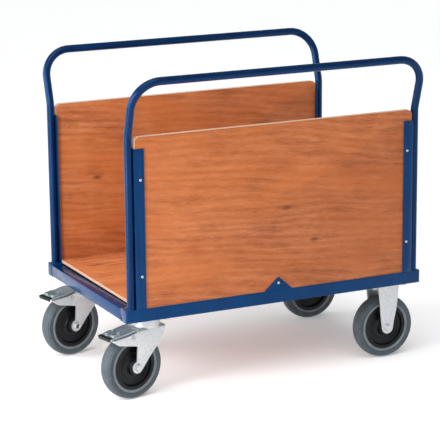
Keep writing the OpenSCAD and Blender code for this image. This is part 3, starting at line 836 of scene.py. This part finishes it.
@dataclass
class Boards:
    """The deck board and the two wall boards, with veneered faces and cut edges."""

    finishes: Finishes
    wall_half: float = 463.5
    wall_inner: float = 299
    wall_thick: float = 18
    wall_foot: float = 286
    wall_high: float = 512
    corner: float = 16
    corner_steps: int = 14
    deck_long: float = 924
    deck_wide: float = 597
    deck_thick: float = 9
    arris: float = 0.7
    facing: float = 0.9

    def set_board(self, board: Object, axis: int, looks: tuple[Look, Look], node: str) -> None:
        """Breaks a board's arrises, veneers its faces and sets it in its node's place.

        Args:
            board: the board.
            axis: the axis across its thickness.
            looks: those of its two faces and of its edges.
            node: the CAD node that it replaces.
        """
        with editing(board, Pick.EDGES):
            pick(board, edges_where(lambda a, b: abs(a[axis] - b[axis]) < LEVEL_WITHIN))
            bpy.ops.mesh.bevel(offset=self.arris * MM, segments=2, affect="EDGES")
        smooth(board, 30)
        for look in looks:
            board.data.materials.append(look.material)
        for polygon in board.data.polygons:
            polygon.material_index = 0 if abs(polygon.normal[axis]) > self.facing else 1
        finish_piece(board, looks[0], "truck", node)

    def wall(self, side: Side) -> None:
        """Builds one wall board with its rounded top corners.

        Args:
            side: the long side that it stands on.
        """
        top = self.wall_foot + self.wall_high
        board = block(
            f"wall_board_{side.word}",
            (2 * self.wall_half, self.wall_thick, self.wall_high),
            (0, side.value * (self.wall_inner + self.wall_thick / 2), (self.wall_foot + top) / 2),
        )
        with editing(board, Pick.EDGES):
            pick(board, edges_where(
                lambda a, b: min(a.z, b.z) > (top - 1) * MM and abs(a.x - b.x) < LEVEL_WITHIN
            ))
            bpy.ops.mesh.bevel(
                offset=self.corner * MM, segments=self.corner_steps, affect="EDGES"
            )
        looks = (self.finishes.wall_face, self.finishes.wall_edge)
        self.set_board(board, 1, looks, f"wall_{side.word}")

    def deck(self) -> None:
        """Builds the deck board."""
        board = block(
            "deck_panel",
            (self.deck_long, self.deck_wide, self.deck_thick),
            (0, 0, self.wall_foot + self.deck_thick / 2),
        )
        looks = (self.finishes.lit_deck_face, self.finishes.deck_edge)
        self.set_board(board, 2, looks, "deck_board")

    def build(self) -> None:
        """Builds the three boards."""
        self.deck()
        for side in Side:
            self.wall(side)


@dataclass
class Bow:
    """A bent tube bow over one wall, with weld beads round its feet."""

    finishes: Finishes
    side: Side
    post_x: float = 479
    post_y: float = 305.5
    foot: float = 286
    lean_start: float = 504
    lean_angle: float = 16.5
    lean_r: float = 60
    lean_run: float = 76.57
    lean_steps: int = 8
    corner_r: float = 84
    corner_steps: int = 18
    tube_d: float = 24
    tube_steps: int = 40
    bead: float = 2

    def push(self, step: Vector) -> None:
        """Draws the open end of the tube out by a step."""
        bpy.ops.mesh.extrude_region_move(TRANSFORM_OT_translate={"value": step * MM})

    def bend(self, steps: int, angle: float, middle: Vector, axis: Vector) -> None:
        """Bends the open end clockwise in so many rings, about a middle and an axis."""
        bpy.ops.mesh.spin(steps=steps, angle=-math.radians(angle), center=middle * MM, axis=axis)

    def tube(self) -> None:
        """Bends the bow from one ring: up, out, over, along and down again."""
        sign = self.side.value
        lean = self.lean_angle
        out = math.radians(lean)
        up = Vector((0, sign * math.sin(out), math.cos(out)))
        along = Vector((1, 0, 0))
        axis = Vector((-sign, 0, 0))
        hinge = Vector(
            (-self.post_x, sign * (self.post_y + self.lean_r), self.foot + self.lean_start)
        )
        far_hinge = hinge + along * 2 * self.post_x
        corner = hinge + self.lean_r * up.cross(axis) + up * self.lean_run
        far_corner = corner + up * self.corner_r
        far_corner.x = self.post_x - self.corner_r
        bpy.ops.mesh.primitive_circle_add(
            vertices=self.tube_steps, radius=self.tube_d / 2 * MM, fill_type="NGON",
            location=(-self.post_x * MM, sign * self.post_y * MM, self.foot * MM),
        )
        bow = added(f"bow_tube_{self.side.word}")
        with editing(bow, Pick.FACES):
            bpy.ops.mesh.select_all(action="SELECT")
            self.push(Vector((0, 0, self.lean_start)))
            self.bend(self.lean_steps, lean, hinge, axis)
            self.push(up * self.lean_run)
            self.bend(self.corner_steps, 90, corner + along * self.corner_r, up.cross(along))
            self.push(along * 2 * (self.post_x - self.corner_r))
            self.bend(self.corner_steps, 90, far_corner - up * self.corner_r, up.cross(along))
            self.push(-up * self.lean_run)
            self.bend(self.lean_steps, -lean, far_hinge, axis)
            self.push(Vector((0, 0, -self.lean_start)))
        close_seams(bow)
        smooth(bow)
        finish_piece(bow, self.finishes.shaded_tube_enamel, "truck", f"bow_{self.side.word}")

    def beads(self) -> None:
        """Runs a weld bead round the foot of each post."""
        rings = []
        for x in (-self.post_x, self.post_x):
            bpy.ops.mesh.primitive_torus_add(
                location=(x * MM, self.side.value * self.post_y * MM, self.foot * MM),
                major_radius=self.tube_d / 2 * MM, minor_radius=self.bead * MM,
                major_segments=60, minor_segments=12,
            )
            ring = added("bow_weld")
            with editing(ring, Pick.VERTICES):
                bpy.ops.mesh.select_all(action="SELECT")
                bpy.ops.mesh.bisect(
                    plane_co=(0, 0, self.foot * MM), plane_no=(0, 0, 1),
                    use_fill=True, clear_inner=True,
                )
            rings.append(ring)
        beads = joined(rings, f"bow_welds_{self.side.word}")
        smooth(beads)
        finish_piece(beads, self.finishes.shaded_tube_enamel, "truck")

    def build(self) -> None:
        """Builds the tube and its weld beads."""
        self.tube()
        self.beads()


@dataclass
class Fasteners:
    """Screws of the walls and the deck, with cross recesses in their heads."""

    finishes: Finishes
    wall_x: float = 447
    wall_y: float = 320
    wall_z: Pair = (384.0, 672.0)
    tab_z: float = 309
    wall_r: float = 4.2
    wall_h: float = 2.6
    deck_y: float = 286
    deck_z: float = 294.8
    deck_r: float = 5
    deck_h: float = 1.1
    deck_n: int = 4
    dome: float = 0.9
    recess_long: float = 1.15
    recess_wide: float = 0.26

    def head(self, radius: float, height: float) -> Object:
        """A domed head with a cross recess, standing on the origin along +Z.

        Args:
            radius: the head's radius.
            height: its height.

        Returns:
            The head.
        """
        bpy.ops.mesh.primitive_cylinder_add(
            vertices=32, radius=radius * MM, depth=height * MM, location=(0, 0, height / 2 * MM)
        )
        head = added("screw_head")
        with editing(head, Pick.EDGES):
            pick(head, edges_where(lambda a, b: min(a.z, b.z) > height * 0.99 * MM))
            bpy.ops.mesh.bevel(
                offset=self.dome * height * MM, segments=5, affect="EDGES", clamp_overlap=True
            )
        arms = (self.recess_long, self.recess_wide)
        for length, width in (arms, arms[::-1]):
            size = (length * radius, width * radius, height)
            bar = block("screw_recess", size, (0, 0, height))
            add_modifier(head, "BOOLEAN", object=bar, operation="DIFFERENCE", solver="EXACT")
            bpy.data.objects.remove(bar)
        smooth(head, 40)
        return head

    def set_heads(
        self, head: Object, places: Sequence[tuple[Point, float]], look: Look, node: str
    ) -> None:
        """Sets copies of a head where a CAD node has its screws.

        Args:
            head: the head to copy, which is deleted at the end.
            places: where each stands, and its turn about X in radians.
            look: the heads' look.
            node: the CAD node that they replace, such as wall_screws.
        """
        name = node.removesuffix("s")
        heads = [
            copy_at(
                head, name,
                Matrix.Translation(Vector(place) * MM) @ Matrix.Rotation(turn, 4, "X"),
            )
            for place, turn in places
        ]
        bpy.data.objects.remove(head)
        finish_piece(joined(heads, f"{name}_heads"), look, "truck", node)

    def build(self) -> None:
        """Sets the screws of the walls and their tabs, and those of the deck."""
        upright = [(x, z) for x in (-self.wall_x, self.wall_x) for z in self.wall_z]
        self.set_heads(
            self.head(self.wall_r, self.wall_h),
            [
                ((x, side.value * self.wall_y, z), side.value * -math.pi / 2)
                for side in Side
                for x, z in (*upright, (0, self.tab_z))
            ],
            self.finishes.zinc, "wall_screws",
        )
        low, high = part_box("deck_screws")
        first = low.x / MM + self.deck_r
        pitch = (high.x / MM - self.deck_r - first) / (self.deck_n - 1)
        self.set_heads(
            self.head(self.deck_r, self.deck_h),
            [
                ((first + pitch * i, y, self.deck_z), 0)
                for i in range(self.deck_n)
                for y in (-self.deck_y, self.deck_y)
            ],
            self.finishes.steel, "deck_screws",
        )


@dataclass
class Wheels:
    """Four wheels: a grey elastic tyre on a black moulded centre."""

    finishes: Finishes
    swivel_turn: float = 13
    steps: int = 120
    crown_middle: float = 55
    crown_r: float = 45
    groove: float = 1.2
    lip_r: float = 80

    def crown(self, y: float) -> float:
        """Radius of the tread at a place along the axle."""
        return self.crown_middle + math.sqrt(self.crown_r**2 - y**2)

    def mirrored(self, half: Sequence[Pair]) -> list[Pair]:
        """An outline from its half on the +Y side, given from the bore outwards."""
        return [*half, *((r, -y) for r, y in reversed(half) if y > 0)]

    def tyre(self) -> Object:
        """The tyre with bead rings, rounded shoulders and fine tread grooves.

        Returns:
            The tyre, round the origin.
        """
        wall = [
            (71.5, 19.3), (72.2, 20.8), (73.6, 21.9), (77.8, 22.1), (79.2, 21.5),
            (80.0, 20.2), (81.0, 20.0), (82.2, 20.7), (85.0, 21.6), (88.0, 22.2),
            (91.4, 22.4), (92.8, 22.3),
        ]
        tread = [
            (self.crown(y) - drop * self.groove, y)
            for y, drop in (
                (21.8, 0.3), (20.9, 0), (19.8, 0), (19.2, 1), (17.4, 1), (16.8, 0),
                (15.5, 0), (13.0, 0), (10.0, 0), (7.0, 0), (4.0, 0), (1.2, 0), (0.0, 0),
            )
        ]
        tyre = turned("tyre_model", self.mirrored([*wall, *tread]), self.steps)
        for look in (self.finishes.tyre, self.finishes.tyre_lip):
            tyre.data.materials.append(look.material)
        for polygon in tyre.data.polygons:
            if Vector((polygon.center.x, polygon.center.z)).length < self.lip_r * MM:
                polygon.material_index = 1
        return tyre

    def centre(self) -> Object:
        """The wheel's moulded centre with its hub, stepped web and rim band.

        Returns:
            The centre, round the origin.
        """
        half = [
            (15.0, 28.6), (15.5, 29.6), (22.4, 30.0), (24.0, 29.2), (24.9, 27.4),
            (25.6, 18.0), (26.6, 14.6), (29.0, 12.2), (33.0, 11.0), (38.6, 10.6),
            (39.4, 11.8), (42.8, 11.8), (43.6, 10.2), (47.5, 9.2), (54.5, 8.2),
            (57.4, 8.6), (59.4, 10.4), (60.4, 13.4), (61.0, 17.4), (61.8, 18.9),
            (63.4, 19.5), (69.6, 19.5), (70.3, 19.0), (71.4, 19.2),
        ]
        return turned("centre_model", self.mirrored(half), self.steps)

    def build(self) -> None:
        """Makes the tyre and the centre once and sets four of each."""
        models = (
            ("tyre", self.tyre(), self.finishes.tyre),
            ("centre", self.centre(), self.finishes.black_plastic),
        )
        for mount, turn in (("fixed", 0), ("swivel", math.radians(self.swivel_turn))):
            for side in Side:
                tag = f"{mount}_{side.word}"
                low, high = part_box(f"centre_{tag}")
                place = Matrix.Translation((low + high) / 2) @ Matrix.Rotation(turn, 4, "Z")
                for kind, model, look in models:
                    piece = copy_at(model, f"wheel_{kind}_{tag}", place)
                    finish_piece(piece, look, f"wheel_{tag}", f"{kind}_{tag}")
                dress(f"bearing_{tag}", self.finishes.steel)
        for _, model, _ in models:
            bpy.data.objects.remove(model)


@dataclass
class Castors:
    """Castor heads: forks, plates, pins, bolts and balls."""

    finishes: Finishes
    fork_edge: float = 0.9
    fork_steps: int = 3
    plate_edge: float = 0.7
    bolt_edge: float = 0.5
    dish_rim: float = 2.4
    dish_slope: float = 0.5
    dish_depth: float = 2

    def set_dished(self, node: str, body: str) -> None:
        """Sets a bolt or nut with a hollow pressed in its widest flat face, painted dark as
        shade.

        Args:
            node: the CAD node that it stands for.
            body: the CAD body it rides on.
        """
        piece = refined(node, f"plated_{node}", self.bolt_edge)
        for look in (self.finishes.zinc, self.finishes.hollow_shade):
            piece.data.materials.append(look.material)
        with editing(piece, Pick.FACES):
            pick(piece, widest)
            for inset, sink in ((self.dish_rim, 0), (self.dish_slope, self.dish_depth)):
                bpy.ops.mesh.inset(thickness=inset * MM, depth=-sink * MM, use_individual=True)
            # The hollow's faces take the dark steel, as painted shade.
            piece.active_material_index = 1
            bpy.ops.object.material_slot_assign()
        smooth(piece)
        finish_piece(piece, self.finishes.zinc, body, node)

    def build(self) -> None:
        """Rounds the pressed and turned pieces and plates them."""
        plated, bare = self.finishes.zinc, self.finishes.steel
        for side in Side:
            word = side.word
            head = f"swivel_head_{word}"
            for node, body in ((f"fixed_fork_{word}", "truck"), (f"swivel_fork_{word}", head)):
                round_off(node, "plated", self.fork_edge, plated, body, self.fork_steps)
            for node in (f"axle_bolt_{word}", f"axle_nut_{word}"):
                self.set_dished(node, head)
            for node in (f"axle_tube_{word}", f"pedal_pin_{word}", f"balls_{word}"):
                dress(node, bare)
        round_off("swivel_plates", "plated", self.plate_edge, plated, "truck")
        for node in ("fixed_axle_bolts", "fixed_axle_nuts"):
            self.set_dished(node, "truck")
        for node in ("castor_bolts", "castor_nuts"):
            round_off(node, "plated", self.bolt_edge, plated, "truck")
        for node in ("king_pins", "fixed_axle_tubes"):
            dress(node, bare)


@dataclass
class Brake:
    """One brake: the slotted pedal, its ribbed grip and the shoe under it."""

    finishes: Finishes
    side: Side
    pedal_edge: float = 0.7
    grip_edge: float = 0.5
    shoe_edge: float = 1

    def build(self) -> None:
        """Rounds and dresses the pedal, the grip and the shoe."""
        word = self.side.word
        for node, edge, look in (
            ("pedal", self.pedal_edge, self.finishes.pedal_zinc),
            ("pedal_grip", self.grip_edge, self.finishes.black_plastic),
            ("brake_shoe", self.shoe_edge, self.finishes.black_rubber),
        ):
            round_off(f"{node}_{word}", "brake", edge, look, f"brake_pedal_{word}")


@dataclass(frozen=True)
class Lamp:
    """A soft rectangular light that points at the truck, with sizes in metres and watts."""

    name: str
    place: Point
    size: Pair
    power: float


@dataclass
class Studio:
    """Pale floor, soft lights and a camera at the photograph's angle."""

    camera_place: Point = (-2.60896, -5.31455, 1.86273)
    yaw: float = 25.80
    pitch: float = -13.55
    roll: float = -0.55
    focal: float = 1935.51
    picture: float = 440
    sensor: float = 36
    far_clip: float = 200
    horizon: Point = (0.31, 0.32, 0.34)
    zenith: Point = (0.33, 0.33, 0.34)
    daylight: float = 1
    floor_wide: float = 80
    floor_glow: float = 0.220
    wall_away: float = 39
    wall_high: float = 8
    wall_glow: float = 0.98
    aim_z: float = 0.5
    lamps: tuple[Lamp, ...] = (
        Lamp("key", (-3.1, -1.7, 1.6), (1.6, 1.6), 37),
        Lamp("strip", (-1.84, -0.72, 0.75), (0.40, 1.4), 12),
        Lamp("left_wall", (-4.0, 1.1, 1.7), (2.0, 2.6), 100),
    )
    sun_from: Point = (-0.28, -0.44, 1.0)
    sun_spread: float = 62
    sun_power: float = 1.60

    def lay(self, name: str, wires: Wiring, tone: Colour, glow: float) -> None:
        """Gives the stage piece just added its glow.

        Args:
            name: the piece's name.
            wires: its material.
            tone: the colour of its glow.
            glow: the strength of its glow.
        """
        wires.set("Emission Color", tone)
        wires.set("Emission Strength", glow)
        piece = added(name)
        piece.data.materials.append(wires.material)

    def floor(self) -> None:
        """Lays the floor."""
        bpy.ops.mesh.primitive_plane_add(size=self.floor_wide, location=(0, 0, 0))
        wires = Wiring("studio_floor")
        haze = wires.noise(wires.place(), scale=0.6, detail=2)
        stops = [(0, (0.925, 0.93, 0.925)), (1, (0.955, 0.96, 0.955))]
        wires.set("Base Color", wires.ramp(haze, stops))
        wires.set("Roughness", 0.9)
        wires.set("Specular IOR Level", 0.1)
        self.lay("studio_floor", wires, (1, 0.995, 0.99), self.floor_glow)

    def backdrop(self) -> None:
        """Stands a low pale wall all round, far off, for the level views."""
        bpy.ops.mesh.primitive_cylinder_add(
            vertices=96, radius=self.wall_away, depth=self.wall_high,
            location=(0, 0, self.wall_high / 2), end_fill_type="NOTHING",
        )
        wires = Wiring("studio_backdrop")
        wires.set("Base Color", (0, 0, 0))
        wires.set("Specular IOR Level", 0)
        self.lay("studio_backdrop", wires, (1, 1, 1), self.wall_glow)

    def hang(self, data: bpy.types.ID, place: Point, turn: Matrix) -> Object:
        """Hangs a light or the camera.

        Args:
            data: its own data, whose name it takes.
            place: where it hangs.
            turn: how it is turned.

        Returns:
            The hung object.
        """
        holder = bpy.data.objects.new(data.name, data)
        bpy.context.scene.collection.objects.link(holder)
        holder.matrix_world = Matrix.Translation(place) @ turn
        return holder

    def shine(self, data: bpy.types.Light, place: Point, way: Vector) -> None:
        """Hangs a light in its place, so that it shines in a direction."""
        self.hang(data, place, way.to_track_quat("-Z", "Y").to_matrix().to_4x4())

    def light(self) -> None:
        """Hangs the soft lights, and a broad even one over everything."""
        for lamp in self.lamps:
            soft = bpy.data.lights.new(lamp.name, "AREA")
            soft.shape = "RECTANGLE"
            soft.size, soft.size_y = lamp.size
            soft.energy = lamp.power
            self.shine(soft, lamp.place, Vector((0, 0, self.aim_z)) - Vector(lamp.place))
        broad = bpy.data.lights.new("overhead", "SUN")
        broad.angle = math.radians(self.sun_spread)
        broad.energy = self.sun_power
        self.shine(broad, (0, 0, 0), -Vector(self.sun_from))

    def world(self) -> None:
        """Sets a nearly even surround, from horizon to zenith."""
        wires = Wiring("studio", world=True)
        height = wires.node("SeparateXYZ", {0: wires.node("TexCoord", {}, "Generated")}, "Z")
        wires.set("Color", wires.ramp(height, [(0, self.horizon), (1, self.zenith)]))
        wires.set("Strength", self.daylight)
        bpy.context.scene.world = wires.material

    def camera(self) -> None:
        """Sets the camera where the photograph was taken from, and shows colours plainly."""
        settings = bpy.context.scene.view_settings
        settings.view_transform = "Standard"
        settings.look = "None"
        yaw, pitch, roll = (math.radians(a) for a in (self.yaw, self.pitch, self.roll))
        lens = bpy.data.cameras.new("photo_view")
        lens.sensor_width = self.sensor
        lens.lens = self.focal / self.picture * self.sensor
        lens.clip_end = self.far_clip
        turn = Matrix.Rotation(-yaw, 4, "Z") @ Matrix.Rotation(math.pi / 2 + pitch, 4, "X")
        turn @= Matrix.Rotation(roll, 4, "Z")
        bpy.context.scene.camera = self.hang(lens, self.camera_place, turn)

    def build(self) -> None:
        """Sets up floor, surround, lights and camera."""
        self.floor()
        self.world()
        self.backdrop()
        self.light()
        self.camera()


def main() -> None:
    """Builds and dresses the truck, then the studio round it."""
    logging.basicConfig(level=logging.INFO, format="%(name)s: %(message)s")
    finishes = Finishes()
    Chassis(finishes).build()
    Boards(finishes).build()
    for side in Side:
        Bow(finishes, side).build()
    Uprights(finishes).build()
    Fasteners(finishes).build()
    Castors(finishes).build()
    for side in Side:
        Brake(finishes, side).build()
    Wheels(finishes).build()
    Studio().build()


if __name__ == "__main__":
    main()
